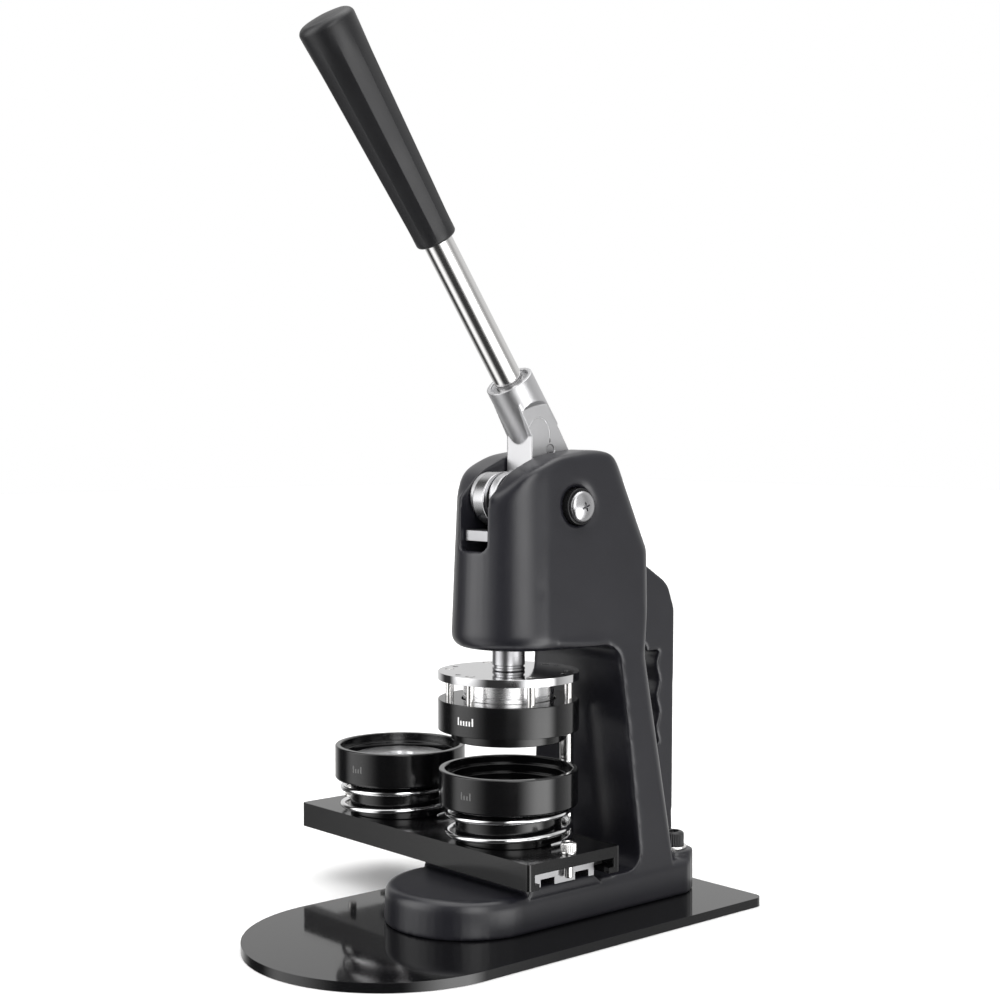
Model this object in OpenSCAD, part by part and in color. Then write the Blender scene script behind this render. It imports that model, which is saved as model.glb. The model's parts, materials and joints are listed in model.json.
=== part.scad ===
// Button badge maker: a hand press with a ram, a floating upper ring and two sprung die cups on a slide.
// Millimetres. The origin is where the ram's axis meets the surface that the press stands on.
// +X is to the user's right, +Y is towards the back and +Z is up. The lever is drawn raised.

/* [Dies] */
// Outer diameter of the two die cups
cup_d = 77; // [76:0.5:78]
// Height of a die cup
cup_h = 19.6; // [19:0.2:20]
// Diameter of the paper disc that drops into a cup
paper_d = 70.5; // [70:0.5:71]
// Diameter of the badge, which the left insert and both posts carry
badge_d = 58.8; // [58:0.2:59]
// Distance between the two dies along the slide
die_pitch = 97.4; // [96:0.2:98]
// Wire diameter of the springs under the cups
cup_wire_d = 3; // [2.5:0.1:3.2]

/* [Slide] */
// Length of the slide
slide_l = 204.4; // [203:0.2:206]
// Width of the slide
slide_w = 67; // [66:0.5:68]
// Height of the slide
slide_h = 14.2; // [14:0.1:14.6]
// Half length of the rail under the slide
rail_half_l = 45.5; // [45:0.1:45.6]

/* [Base] */
// Width of the base plate
plate_w = 155; // [150:1:165]
// Thickness of the base plate
plate_t = 5; // [5:0.5:6]
// Distance from the ram's axis to the back edge of the base plate
plate_rear = 125; // [123:1:135]
// Distance from the ram's axis forward to the centre of the plate's round front
plate_nose = 82.5; // [75:0.5:95]

/* [Casting] */
// Width of the foot
foot_w = 90; // [88:1:94]
// Height of the foot's top face
foot_top = 25; // [24.5:0.5:25.5]
// Height of the underside of the head
throat_top = 150.5; // [150:0.5:152]
// Width of the lever's slot
slot_w = 22.6; // [22.4:0.1:23]
// Height of the sill of the slot's front window
window_z = 204; // [203:0.5:206]

/* [Lever] */
// Distance of the lever's pivot behind the ram's axis
pivot_y = 22.5; // [22:0.5:23]
// Height of the lever's pivot
pivot_z = 228; // [228:0.5:229]
// Angle of the handle forward of upright, in degrees
handle_tilt = 34.6; // [32:0.2:36]
// Diameter of the handle's tube
tube_d = 16; // [15:0.5:17]
// Length of tube that shows between the socket and the grip
tube_free = 89; // [80:0.5:100]
// Length of the grip
grip_l = 128.7; // [115:0.1:140]
// Diameter of the grip at its free end
grip_d = 30.8; // [28:0.2:32]

/* [Ram] */
// Diameter of the ram
ram_d = 18; // [17:0.5:18]
// Diameter of the roller on the lever
roller_d = 30; // [29:0.5:30]
// Diameter of the mirror-finish disc on the ram
disc_d = 77.8; // [77:0.2:78]
// Diameter of the core that presses the badge
core_d = 50; // [48:1:51]

/* [Hidden] */
$fn = 96;

fit_gap = 0.02;       // radial gap where a piece is fixed in a hole
run_gap = 0.06;       // radial gap where a piece slides or turns in a hole
left = -1;
right = 1;

// Heights up the press
platform_top = 28.5;
rail_top = 38;
slide_bottom = 30.1;
slide_top = slide_bottom + slide_h;
channel_top = 38.3;
cup_bottom = 64;
cup_top = cup_bottom + cup_h;
disc_top = 137.3;
disc_t = 4.3;
disc_bottom = disc_top - disc_t;
ring_bottom = 105.3;
ring_top = 122.2;
lip_bottom = 99.8;
core_bottom = 103.9;
plate_top = 215.2;    // ram's head plate
head_plate_t = 6.1;
spring_seat = 165;
head_top = 258.8;

// Plan of the casting
foot_nose = 30;
foot_rear = 112;
head_nose_y = 5.5;
nose_r_bottom = 36;
nose_r_top = 31.5;
under_r = 7;          // rounding of the head's lower edge
under_lean = 3.6;     // lean of that edge, behind the nose
under_fade = 33.5;    // distance over which the rounding fades
bolt_x = 29.8;
bolt_y = 100.2;
boss_top = 28.5;
post_y = 44;
post_top = 111.5;
bush_d = 20;
bush_out = 34.2;      // how far the pivot bushes reach from the middle
bush_in = 12;
pin_d = 10;

// Lever
roller_y = -7.4;
roller_z = 231.8;
arm_t = 20.8;
fork_gap = 9.8;
socket_d = 27;
socket_l = 35;
socket_y = 0.2;       // centre of the socket's mouth
socket_z = 296.3;
clear_r = 56;         // radius, about the pivot, inside which the lever is flat-sided

// Slide
slide_x = -die_pitch / 2;
stop_inset = 5.3;
stop_x_right = slide_x + slide_l / 2 - stop_inset;
stop_x_left = slide_x - slide_l / 2 + stop_inset;
left_die_x = -die_pitch;
pin_circle_r = 33;
pin_angle = 40;

// ---------- outlines ----------

function unit(v) = v / norm(v);

// The corner b of the path a-b-c, rounded with radius r
function corner(a, b, c, r, n) =
    r <= 0 ? [b] :
    let (u = unit(a - b), v = unit(c - b), half = acos(u * v) / 2)
    let (mid = b + unit(u + v) * r / sin(half), p = b + u * r / tan(half), q = b + v * r / tan(half))
    let (a0 = atan2(p.y - mid.y, p.x - mid.x), a1 = atan2(q.y - mid.y, q.x - mid.x))
    let (turn = a1 - a0 > 180 ? a1 - a0 - 360 : a1 - a0 < -180 ? a1 - a0 + 360 : a1 - a0)
    [for (i = [0 : n]) mid + r * [cos(a0 + turn * i / n), sin(a0 + turn * i / n)]];

// A closed outline from points [x, y, corner radius]
function rounded(pts, n = 6) =
    let (m = len(pts))
    [for (i = [0 : m - 1])
        let (a = pts[(i + m - 1) % m], b = pts[i], c = pts[(i + 1) % m])
        each corner([a.x, a.y], [b.x, b.y], [c.x, c.y], b[2], n)];

// An outline in (Y, Z), made t thick about the middle plane
module slab(t) {
    translate([-t / 2, 0, 0]) rotate([90, 0, 90]) linear_extrude(t) children();
}

// An outline in (X, Z), made to run from y0 back to y1
module along_y(y0, y1) {
    translate([0, y1, 0]) rotate([90, 0, 0]) linear_extrude(y1 - y0) children();
}

// A cylinder along X, centred at (y, z)
module x_rod(y, z, d, x0, x1) {
    translate([x0, y, z]) rotate([0, 90, 0]) cylinder(d = d, h = x1 - x0);
}

// A disc, washer or plain tube about a vertical axis
module tube_ring(od, id, z0, z1) {
    difference() {
        translate([0, 0, z0]) cylinder(d = od, h = z1 - z0);
        translate([0, 0, z0 - 1]) cylinder(d = id, h = z1 - z0 + 2);
    }
}

// A vertical socket-head cap screw whose head stands on z = 0
module cap_screw(shank_d, head_d, head_h, length) {
    difference() {
        union() {
            cylinder(d = head_d, h = head_h - 0.6);
            translate([0, 0, head_h - 0.6]) cylinder(d1 = head_d, d2 = head_d - 1.2, h = 0.6);
            translate([0, 0, -length]) cylinder(d = shank_d, h = length);
        }
        translate([0, 0, head_h / 2]) cylinder(d = shank_d, h = head_h, $fn = 6);
    }
}

// A countersunk screw pointing down, with its flat head at z = 0
module flat_screw(shank_d, length) {
    difference() {
        union() {
            translate([0, 0, -shank_d / 2]) cylinder(d1 = shank_d, d2 = shank_d * 2, h = shank_d / 2);
            translate([0, 0, -length]) cylinder(d = shank_d, h = length);
        }
        translate([0, 0, -shank_d / 3]) cylinder(d = shank_d * 0.55, h = shank_d, $fn = 6);
    }
}

// The hole that a countersunk screw sits in
module flat_screw_hole(shank_d, length) {
    sink_d = shank_d + 2 * fit_gap;
    translate([0, 0, -shank_d / 2]) cylinder(d1 = sink_d, d2 = shank_d * 2 + 2 * fit_gap, h = shank_d / 2);
    translate([0, 0, -length]) cylinder(d = sink_d, h = length + 0.01);
    cylinder(d = shank_d * 2 + 2 * fit_gap, h = 2);
}

// A round-wire helix whose ends are closed up, from z0 to z1 outside the wire
module coil_spring(mean_r, wire_d, z0, z1, turns, steps, sides, closing) {
    rise = z1 - z0 - wire_d;
    count = floor(turns * steps);
    lead = [for (i = [0 : count]) let (u = i / count)
        z0 + wire_d / 2 + rise * (u - closing * sin(360 * u) / 360 * 180 / PI)];
    points = [for (i = [0 : count]) let (a = 360 * i / steps) for (j = [0 : sides - 1])
        let (b = 360 * j / sides, r = mean_r + wire_d / 2 * cos(b))
        [r * cos(a), r * sin(a), lead[i] + wire_d / 2 * sin(b)]];
    walls = [for (i = [0 : count - 1]) for (j = [0 : sides - 1]) let (k = (j + 1) % sides)
        [i * sides + j, (i + 1) * sides + j, (i + 1) * sides + k, i * sides + k]];
    first = [for (j = [0 : sides - 1]) j];
    last = [for (j = [sides - 1 : -1 : 0]) count * sides + j];
    polyhedron(points, concat(walls, [first, last]), convexity = 8);
}

// ---------- base plate ----------

module plate_outline() {
    half = plate_w / 2;
    translate([0, -plate_nose]) circle(r = half, $fn = 128);
    polygon(rounded([[-half, -plate_nose, 0], [half, -plate_nose, 0], [half, plate_rear, 6],
        [-half, plate_rear, 6]]));
}

module plate_screw_places() {
    for (x = [-25, 25]) translate([x, -22, 0.1]) rotate([180, 0, 0]) children();
}

module base_plate() {
    color("black") difference() {
        linear_extrude(plate_t) plate_outline();
        plate_screw_places() flat_screw_hole(6, 20);
        for (x = [-bolt_x, bolt_x]) translate([x, bolt_y, -1]) cylinder(d = 8 + 2 * fit_gap, h = plate_t + 2);
    }
}

module plate_screws() {
    color("dimgray") plate_screw_places() flat_screw(6, 15);
}

// ---------- casting ----------

// Half of the foot's cross-section, from the middle out to the rounded top edge
module foot_section() {
    half = foot_w / 2;
    polygon(rounded([[0, plate_t, 0], [half, plate_t, 0], [half - 0.8, foot_top, 5], [0, foot_top, 0]]));
}

module foot() {
    half = foot_w / 2;
    intersection() {
        union() {
            translate([0, -foot_nose, 0]) rotate_extrude() foot_section();
            along_y(-foot_nose, foot_rear) {
                foot_section();
                mirror([1, 0]) foot_section();
            }
        }
        linear_extrude(40) polygon(rounded([[-half, -90, 0], [half, -90, 0], [half, foot_rear, 20],
            [-half, foot_rear, 20]]));
    }
    slab(foot_w - 1.2) polygon([[-25, foot_top - 2], [29, foot_top - 2], [22.5, platform_top],
        [-23.5, platform_top]]);
}

// Side view of the column and head. The throat's two corners are filleted.
module column_side() {
    polygon(rounded([[40, foot_top - 6, 0], [98, foot_top - 6, 0], [98, foot_top, 0], [94.5, 40, 20],
        [80.5, 142, 20], [84, 172, 10], [84.5, 200, 5], [62.4, 246.3, 12], [50, 258, 20],
        [34, head_top, 40], [10, 255.6, 40], [-10, 247, 24], [-42, 215.5, 0], [-42, throat_top, 0],
        [50.5, throat_top, 10], [60.5, foot_top, 9], [40, foot_top, 0]]));
}

// Front view of the column and head: drafted sides that narrow towards the top
module column_front() {
    side = [[44, foot_top - 7, 0], [43.6, foot_top, 0], [39, 110, 30], [36, throat_top, 30],
        [33, 225, 20], [31, 262, 9]];
    polygon(rounded(concat(side, [for (i = [len(side) - 1 : -1 : 0]) [-side[i].x, side[i].y, side[i][2]]])));
}

// A leaning prism with one rounded back edge. Its side and its back are flat.
module back_edge(x, y, z, lean, draft) {
    translate([x, y, z]) rotate([lean, 0, 0]) rotate([0, -draft, 0]) translate([0, 0, -200])
        linear_extrude(400) polygon(rounded([[-120, -200, 0], [0, -200, 0], [0, 0, 12], [-120, 0, 0]]));
}

// Trims the column or the head from behind, with both back edges rounded
module back_trim(x, y, z, lean, draft) {
    intersection() {
        back_edge(x, y, z, lean, draft);
        mirror([1, 0, 0]) back_edge(x, y, z, lean, draft);
    }
}

// The column leans forward as it rises, and the head behind it bulges back and then slopes to the top
module back_shape() {
    intersection() {
        back_trim(37.4, 76.2, 142, 7.8, 3.6);
        translate([-60, -200, 0]) cube([120, 400, 155]);
    }
    intersection() {
        back_trim(37.2, 76.2, 142, -6.5, 2.3);
        back_trim(35.6, 79.6, 172, -0.9, 2.3);
        back_trim(34.4, 80.1, 203, 23.3, 2.3);
        translate([-60, -200, 125]) cube([120, 400, 175]);
    }
}

// A prism along Y with one rounded lower edge. It leans out and down, so its rounding fades towards the back.
module under_edge() {
    translate([nose_r_bottom, head_nose_y, throat_top]) rotate([-under_lean, 0, -under_lean]) along_y(-20, 120)
        polygon(rounded([[0, 0, under_r], [0, 200, 0], [-120, 200, 0], [-120, 0, 0]]));
}

// The broad round nose of the head, with the lower edge rounded. Behind it the rounding fades away.
module nose_trim() {
    translate([0, head_nose_y, 0]) rotate_extrude()
        polygon(rounded([[0, throat_top, 0], [nose_r_bottom, throat_top, under_r],
            [nose_r_top, head_top + 3, 0], [0, head_top + 3, 0]]));
    intersection() {
        under_edge();
        mirror([1, 0, 0]) under_edge();
        translate([-60, head_nose_y, 0]) cube([120, under_fade, 300]);
    }
    translate([-60, head_nose_y + under_fade, 0]) cube([120, 80, 300]);
}

module column_and_head() {
    intersection() {
        slab(110) column_side();
        along_y(-60, 120) column_front();
        back_shape();
        nose_trim();
    }
}

// The carrying handle behind the column, with finger grooves along its inner edge
module rear_handle() {
    grooves = [for (i = [0 : 24]) [110.5 + 1.2 * cos(360 * i / 8), 84 + 56 * i / 24]];
    difference() {
        slab(16) polygon(rounded([[60, 208, 0], [101.5, 190, 10], [119, 179, 14], [124.6, 164, 12],
            [123.4, 34, 0], [122.5, plate_t, 0], [60, plate_t, 0]]));
        slab(20) polygon(concat(rounded([[104, 72, 7], [87, 79, 8], [81, 141, 8], [101, 150, 7]]),
            [for (i = [24 : -1 : 0]) grooves[i]]));
    }
}

// What is hollow in the head: the lever's slot, the ram's chamber and the bores
module head_hollows() {
    half = slot_w / 2;
    translate([-half, -22.8, 181]) cube([slot_w, 67, 100]);
    along_y(-60, -10) polygon(rounded([[-half, window_z, 4.5], [half, window_z, 4.5], [half, 280, 0],
        [-half, 280, 0]]));
    translate([0, 0, spring_seat]) cylinder(d = 24.6, h = 20);
    translate([0, 0, throat_top - 1]) cylinder(d = 26 + 2 * fit_gap, h = 20);
    x_rod(pivot_y, pivot_z, bush_d + 2 * fit_gap, -45, 45);
}

module cast_frame() {
    color([0.13, 0.13, 0.14]) difference() {
        union() {
            foot();
            column_and_head();
            rear_handle();
            for (x = [-bolt_x, bolt_x]) translate([x, bolt_y, plate_t])
                cylinder(d = 23, h = boss_top - plate_t);
        }
        head_hollows();
        for (x = [-bolt_x, bolt_x]) translate([x, bolt_y, 0]) cylinder(d = 8.4, h = 60);
        translate([0, 0, platform_top]) rail_screw_places() translate([0, 0, -12]) cylinder(d = 5.04, h = 20);
        translate([0, post_y, foot_top - 12]) cylinder(d = 6 + 2 * fit_gap, h = 20);
        plate_screw_places() translate([0, 0, -16]) cylinder(d = 6 + 2 * fit_gap, h = 16);
    }
}

module rear_bolt(side) {
    color("black") translate([side * bolt_x, bolt_y, boss_top + 1.6]) cap_screw(8, 13, 8, 29);
}

module bolt_washer(side) {
    color("silver") translate([side * bolt_x, bolt_y, 0]) tube_ring(16, 8.4, boss_top, boss_top + 1.6);
}

module stop_post() {
    color("silver") translate([0, post_y, 0]) {
        translate([0, 0, foot_top]) cylinder(d = 7.8, h = post_top - foot_top);
        translate([0, 0, foot_top - 11]) cylinder(d = 6, h = 11.5);
    }
}

// ---------- rail ----------

module rail_screw_places() {
    for (x = [-30, 30]) translate([x, 0, 0]) children();
}

module slide_rail() {
    color("lightgray") difference() {
        translate([-rail_half_l, -21.5, platform_top]) cube([2 * rail_half_l, 43, rail_top - platform_top]);
        for (y = [-17.5, 7.5]) translate([-60, y, platform_top - 1]) cube([120, 10, 5]);
        translate([0, 0, rail_top]) rail_screw_places() flat_screw_hole(5, 15);
    }
}

module rail_screws() {
    color("dimgray") translate([0, 0, rail_top]) rail_screw_places() flat_screw(5, 18);
}

module rail_guide(side) {
    color([0.1, 0.1, 0.1]) translate([-rail_half_l + 0.5, side > 0 ? 21.5 : -28.6, 33.5])
        cube([2 * rail_half_l - 1, 7.1, rail_top - 33.5]);
}

// ---------- pivot and ram guide ----------

module pivot_bush(side) {
    color("black") difference() {
        x_rod(pivot_y, pivot_z, bush_d, side > 0 ? bush_in : -bush_out, side > 0 ? bush_out : -bush_in);
        x_rod(pivot_y, pivot_z, pin_d + 2 * fit_gap, -50, 50);
    }
}

module pivot_pin() {
    color("silver") difference() {
        x_rod(pivot_y, pivot_z, pin_d, -bush_out + 0.5, bush_out - 0.5);
        x_rod(pivot_y, pivot_z, 6 + 2 * fit_gap, -50, -16);
        x_rod(pivot_y, pivot_z, 6 + 2 * fit_gap, 16, 50);
    }
}

// A domed screw with a cross recess, pointing inwards
module pivot_screw(side) {
    color("silver") translate([side * bush_out, pivot_y, pivot_z]) rotate([0, side * 90, 0]) difference() {
        union() {
            rotate_extrude() polygon(concat([[0, 0], [8.6, 0], [8.6, 0.8]],
                [for (i = [0 : 8]) [8.6 * cos(90 * i / 8), 0.8 + 3.4 * sin(90 * i / 8)]]));
            translate([0, 0, -14]) cylinder(d = 6, h = 14.5);
        }
        for (a = [20, 110]) rotate([0, 0, a]) translate([-2.6, -0.55, 2.2]) cube([5.2, 1.1, 4]);
    }
}

module ram_guide_bush() {
    color("goldenrod") tube_ring(26, ram_d + 2 * run_gap, throat_top, spring_seat);
}

// ---------- lever ----------

// Moves its children from the socket's own frame, with z along the handle, to the press
module on_handle() {
    translate([0, socket_y, socket_z]) rotate([handle_tilt, 0, 0]) children();
}

// Side view of the flat part of the arm: web, pivot boss and the two fork ears
module arm_side() {
    translate([pivot_y, pivot_z]) circle(r = 12);
    translate([-5.5, 233]) circle(r = 13.5);
    polygon(rounded([[-5.5, 246.5, 0], [-5.5, 219.5, 0], [pivot_y, pivot_z - 12, 0],
        [pivot_y + 11.8, pivot_z - 2, 0], [36.5, 243, 10], [37.5, 255.5, 10], [17.5, 287, 0],
        [-2, 283, 0], [7.7, 266, 0], [7.7, 246.5, 0]]));
}

module lever_arm() {
    color([0.72, 0.72, 0.73]) difference() {
        union() {
            slab(arm_t) arm_side();
            on_handle() translate([0, 0, -socket_l]) cylinder(d = socket_d, h = socket_l);
        }
        for (side = [0, 1]) mirror([side, 0, 0]) translate([arm_t / 2, pivot_y, pivot_z])
            rotate([0, 90, 0]) cylinder(r1 = clear_r, r2 = clear_r + 4, h = 4);
        on_handle() translate([0, 0, -29]) cylinder(d = tube_d + 2 * fit_gap, h = 40);
        on_handle() translate([0, 0, -1.6]) cylinder(d = 22.5, h = 10);
        x_rod(roller_y, roller_z, 2 * 16.3, -fork_gap / 2, fork_gap / 2);
        translate([-fork_gap / 2, -60, roller_z - 30]) cube([fork_gap, 60 + roller_y, 60]);
        translate([-fork_gap / 2, roller_y - 1, roller_z - 30]) cube([fork_gap, 17.3, 30]);
        x_rod(roller_y, roller_z, pin_d + 2 * fit_gap, -20, 20);
        x_rod(pivot_y, pivot_z, pin_d + 2 * run_gap, -20, 20);
        x_rod(21.6, 258.4, 6 + 2 * fit_gap, -20, 20);
    }
}

module lever_cross_pin() {
    color("silver") x_rod(21.6, 258.4, 6, -arm_t / 2 + 0.5, arm_t / 2 - 0.5);
}

module lever_tube() {
    color("silver") on_handle() tube_ring(tube_d, tube_d - 4, -28, tube_free + grip_l - 20);
}

// A tapering grip with rounded ends
module lever_grip() {
    neck_r = 11.2;
    end_r = grip_d / 2;
    color([0.1, 0.1, 0.1]) on_handle() translate([0, 0, tube_free]) difference() {
        rotate_extrude() polygon(rounded([[0, 0, 0], [neck_r, 0, 2], [end_r, grip_l, 5.5], [0, grip_l, 0]]));
        translate([0, 0, -1]) cylinder(d = tube_d + 2 * fit_gap, h = grip_l - 17);
    }
}

module roller_pin() {
    color("silver") x_rod(roller_y, roller_z, pin_d, -arm_t / 2 + 0.2, arm_t / 2 - 0.2);
}

module roller_inner_race() {
    color("silver") difference() {
        x_rod(roller_y, roller_z, 14.4, -4.5, 4.5);
        x_rod(roller_y, roller_z, pin_d + 2 * fit_gap, -20, 20);
    }
}

module roller_race() {
    tread_r = roller_d / 2;
    color("silver") translate([0, roller_y, roller_z]) rotate([0, 90, 0]) rotate_extrude()
        polygon([[12.4, -4.5], [tread_r - 0.6, -4.5], [tread_r, -3.9], [tread_r, 3.9],
            [tread_r - 0.6, 4.5], [12.4, 4.5]]);
}

module roller_seals() {
    color([0.08, 0.08, 0.08]) for (x = [-4.2, 3.4]) difference() {
        x_rod(roller_y, roller_z, 24.7, x, x + 0.8);
        x_rod(roller_y, roller_z, 14.6, -20, 20);
    }
}

// ---------- ram and upper die ----------

module ram_shaft() {
    color("silver") difference() {
        union() {
            translate([0, 0, disc_top]) cylinder(d = ram_d, h = plate_top - head_plate_t - disc_top);
            translate([0, 0, disc_top - 16]) cylinder(d = 10, h = 17);
        }
        tube_ring(ram_d + 4, ram_d - 1.6, disc_top + 1.8, disc_top + 3.2);
        translate([0, 0, plate_top]) flat_screw_hole(6, 24);
    }
}

module ram_head_plate() {
    color("silver") difference() {
        translate([-10.5, -22.2, plate_top - head_plate_t]) cube([21, 44.4, head_plate_t]);
        translate([0, 0, plate_top]) flat_screw_hole(6, 24);
    }
}

module ram_head_screw() {
    color("dimgray") translate([0, 0, plate_top]) flat_screw(6, 22);
}

module at_pins(angle) {
    for (k = [0 : 5]) rotate([0, 0, angle + 60 * k]) translate([pin_circle_r, 0, 0]) children();
}

module upper_die_disc() {
    color("silver") difference() {
        tube_ring(disc_d, 10 + 2 * fit_gap, disc_bottom, disc_top);
        at_pins(pin_angle) translate([0, 0, disc_bottom - 1]) cylinder(d = 5 + 2 * run_gap, h = 10);
        at_pins(pin_angle - 17) translate([0, 0, disc_bottom - 1]) cylinder(d = 3.2, h = 10);
    }
}

module upper_die_core() {
    color("lightgray") difference() {
        translate([0, 0, core_bottom]) cylinder(d = core_d, h = disc_bottom - core_bottom);
        translate([0, 0, disc_top - 16.5]) cylinder(d = 10 + 2 * fit_gap, h = 20);
    }
}

module ram_return_spring() {
    color("black") coil_spring(10.25, 1.8, spring_seat, plate_top - head_plate_t, 8.5, 16, 8, 0.5);
}

module upper_die_ring() {
    color("black") difference() {
        tube_ring(disc_d, 52, ring_bottom, ring_top);
        at_pins(pin_angle) translate([0, 0, ring_top - 8]) cylinder(d = 5 + 2 * fit_gap, h = 20);
    }
}

module upper_lip_ring() {
    color("black") tube_ring(63.3, 52, lip_bottom, ring_bottom);
}

module guide_pins() {
    color("silver") at_pins(pin_angle) translate([0, 0, ring_top - 8]) cylinder(d = 5, h = disc_top - ring_top + 8);
}

// ---------- slide and dies ----------

module slide_profile() {
    half = slide_w / 2;
    difference() {
        translate([-half, slide_bottom]) square([slide_w, slide_h]);
        translate([-half + 4.5, slide_bottom + 3]) square([slide_w - 9, channel_top - slide_bottom - 3]);
        translate([-half + 8, slide_bottom - 1]) square([slide_w - 16, 6]);
    }
}

module slide_channel() {
    half_l = slide_l / 2;
    half_w = slide_w / 2;
    color([0.08, 0.08, 0.09]) difference() {
        intersection() {
            translate([slide_x - half_l, 0, 0]) rotate([90, 0, 90]) linear_extrude(slide_l) slide_profile();
            translate([slide_x, 0, 0]) linear_extrude(80) polygon(rounded([[-half_l, -half_w, 2],
                [half_l, -half_w, 2], [half_l, half_w, 2], [-half_l, half_w, 2]]));
        }
        for (x = [stop_x_left, stop_x_right]) translate([x, 0, 20]) cylinder(d = 5 + 2 * fit_gap, h = 60);
        for (x = [left_die_x, 0]) translate([x, 0, channel_top]) rotate([180, 0, 0]) flat_screw_hole(6, 20);
    }
}

module stop_screw(x) {
    color("silver") translate([x, 0, slide_top + 1.3]) cap_screw(5, 8.5, 5, slide_top + 1.3 - 31.5);
}

module stop_washer(x) {
    color("silver") translate([x, 0, 0]) tube_ring(8.4, 5.1, slide_top, slide_top + 1.3);
}

module die_screw(x) {
    color("dimgray") translate([x, 0, channel_top]) rotate([180, 0, 0]) flat_screw(6, 18);
}

// A post that carries the badge. Its screw comes up through the slide.
module die_post(x, top) {
    color("black") translate([x, 0, 0]) difference() {
        translate([0, 0, slide_top]) cylinder(d = badge_d, h = top - slide_top);
        translate([0, 0, slide_top - 1]) cylinder(d = 6 + 2 * fit_gap, h = 14);
    }
}

module right_die_post() {
    color("black") difference() {
        die_post(0, 70);
        translate([0, 0, 67.5]) cylinder(d = 48, h = 5);
    }
}

module left_die_insert() {
    color("lightgray") translate([left_die_x, 0, 0]) difference() {
        translate([0, 0, 70]) cylinder(d = badge_d - 1.8, h = 7);
        translate([0, 0, 76]) cylinder(d = 20, h = 5);
    }
}

// A cup with two inner ledges, whose lower bore slides on the post
module die_cup(x) {
    outer_r = cup_d / 2;
    paper_r = paper_d / 2;
    guide_r = badge_d / 2 + run_gap;
    color([0.06, 0.06, 0.06]) translate([x, 0, 0]) rotate_extrude()
        polygon([[guide_r, cup_bottom], [outer_r - 0.5, cup_bottom], [outer_r, cup_bottom + 0.5],
            [outer_r, cup_top - 0.8], [outer_r - 0.8, cup_top], [paper_r + 0.5, cup_top],
            [paper_r, cup_top - 0.5], [paper_r, cup_top - 4.5], [32.2, cup_top - 4.5],
            [32.2, cup_top - 9], [guide_r, cup_top - 9]]);
}

module die_spring(x) {
    color("silver") translate([x, 0, 0])
        coil_spring(34, cup_wire_d, slide_top, cup_bottom, 2.5, 32, 8, 0.7);
}

base_plate();
plate_screws();
cast_frame();
rear_bolt(left);  // rear_bolt_left
rear_bolt(right);  // rear_bolt_right
bolt_washer(left);  // bolt_washer_left
bolt_washer(right);  // bolt_washer_right
slide_rail();
rail_guide(-1);  // rail_guide_front
rail_guide(1);  // rail_guide_rear
rail_screws();
pivot_bush(left);  // pivot_bush_left
pivot_bush(right);  // pivot_bush_right
pivot_pin();
pivot_screw(left);  // pivot_screw_left
pivot_screw(right);  // pivot_screw_right
ram_guide_bush();
stop_post();
lever_arm();
lever_tube();
lever_grip();
roller_pin();
roller_inner_race();
lever_cross_pin();
roller_race();
roller_seals();
ram_shaft();
ram_head_plate();
ram_head_screw();
upper_die_disc();
upper_die_core();
ram_return_spring();
upper_die_ring();
upper_lip_ring();
guide_pins();
slide_channel();
stop_screw(stop_x_left);  // stop_screw_left
stop_screw(stop_x_right);  // stop_screw_right
stop_washer(stop_x_left);  // stop_washer_left
stop_washer(stop_x_right);  // stop_washer_right
die_post(left_die_x, 70);  // left_die_post
right_die_post();
left_die_insert();
die_screw(left_die_x);  // left_die_screw
die_screw(0);  // right_die_screw
die_spring(left_die_x);  // left_die_spring
die_spring(0);  // right_die_spring
die_cup(left_die_x);  // left_cup
die_cup(0);  // right_cup
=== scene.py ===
import bpy
import bmesh
import json
import math
from mathutils import Matrix, Vector


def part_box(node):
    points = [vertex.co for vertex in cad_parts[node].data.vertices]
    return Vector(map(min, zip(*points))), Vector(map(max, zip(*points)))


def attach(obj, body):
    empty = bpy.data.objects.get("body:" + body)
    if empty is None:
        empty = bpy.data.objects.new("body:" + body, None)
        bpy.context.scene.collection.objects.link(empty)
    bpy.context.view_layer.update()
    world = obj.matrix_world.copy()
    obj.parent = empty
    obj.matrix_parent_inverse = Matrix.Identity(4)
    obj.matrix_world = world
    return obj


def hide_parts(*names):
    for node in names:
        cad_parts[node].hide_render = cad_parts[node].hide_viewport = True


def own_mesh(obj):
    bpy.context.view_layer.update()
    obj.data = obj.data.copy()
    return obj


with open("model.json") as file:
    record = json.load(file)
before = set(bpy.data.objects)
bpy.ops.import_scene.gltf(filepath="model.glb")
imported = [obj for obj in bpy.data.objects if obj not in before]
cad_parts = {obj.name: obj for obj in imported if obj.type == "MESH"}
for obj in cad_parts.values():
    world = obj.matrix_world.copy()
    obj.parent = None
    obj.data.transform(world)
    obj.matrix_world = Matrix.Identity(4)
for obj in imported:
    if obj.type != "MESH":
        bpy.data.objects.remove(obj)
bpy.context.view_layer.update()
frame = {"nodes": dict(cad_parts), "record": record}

MM = 0.001
record = frame["record"]
body_of = {n: b for b, members in record["behaviour"]["bodies"].items() for n in members}
slot_of = {row["node"]: row["material_slot"] for row in record["subparts"]}
scene = bpy.context.scene

# The press faces the camera from its right-hand front corner
AZIMUTH = math.radians(48.88)
PITCH = math.radians(2.31)
CAMERA_AT = (0.71803, -0.6331, 0.26971)
LENS = 62.84
toward = Vector((math.sin(AZIMUTH), -math.cos(AZIMUTH), 0))
across = Vector((math.cos(AZIMUTH), math.sin(AZIMUTH), 0))


# ---------- camera, light and floor ----------

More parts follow.
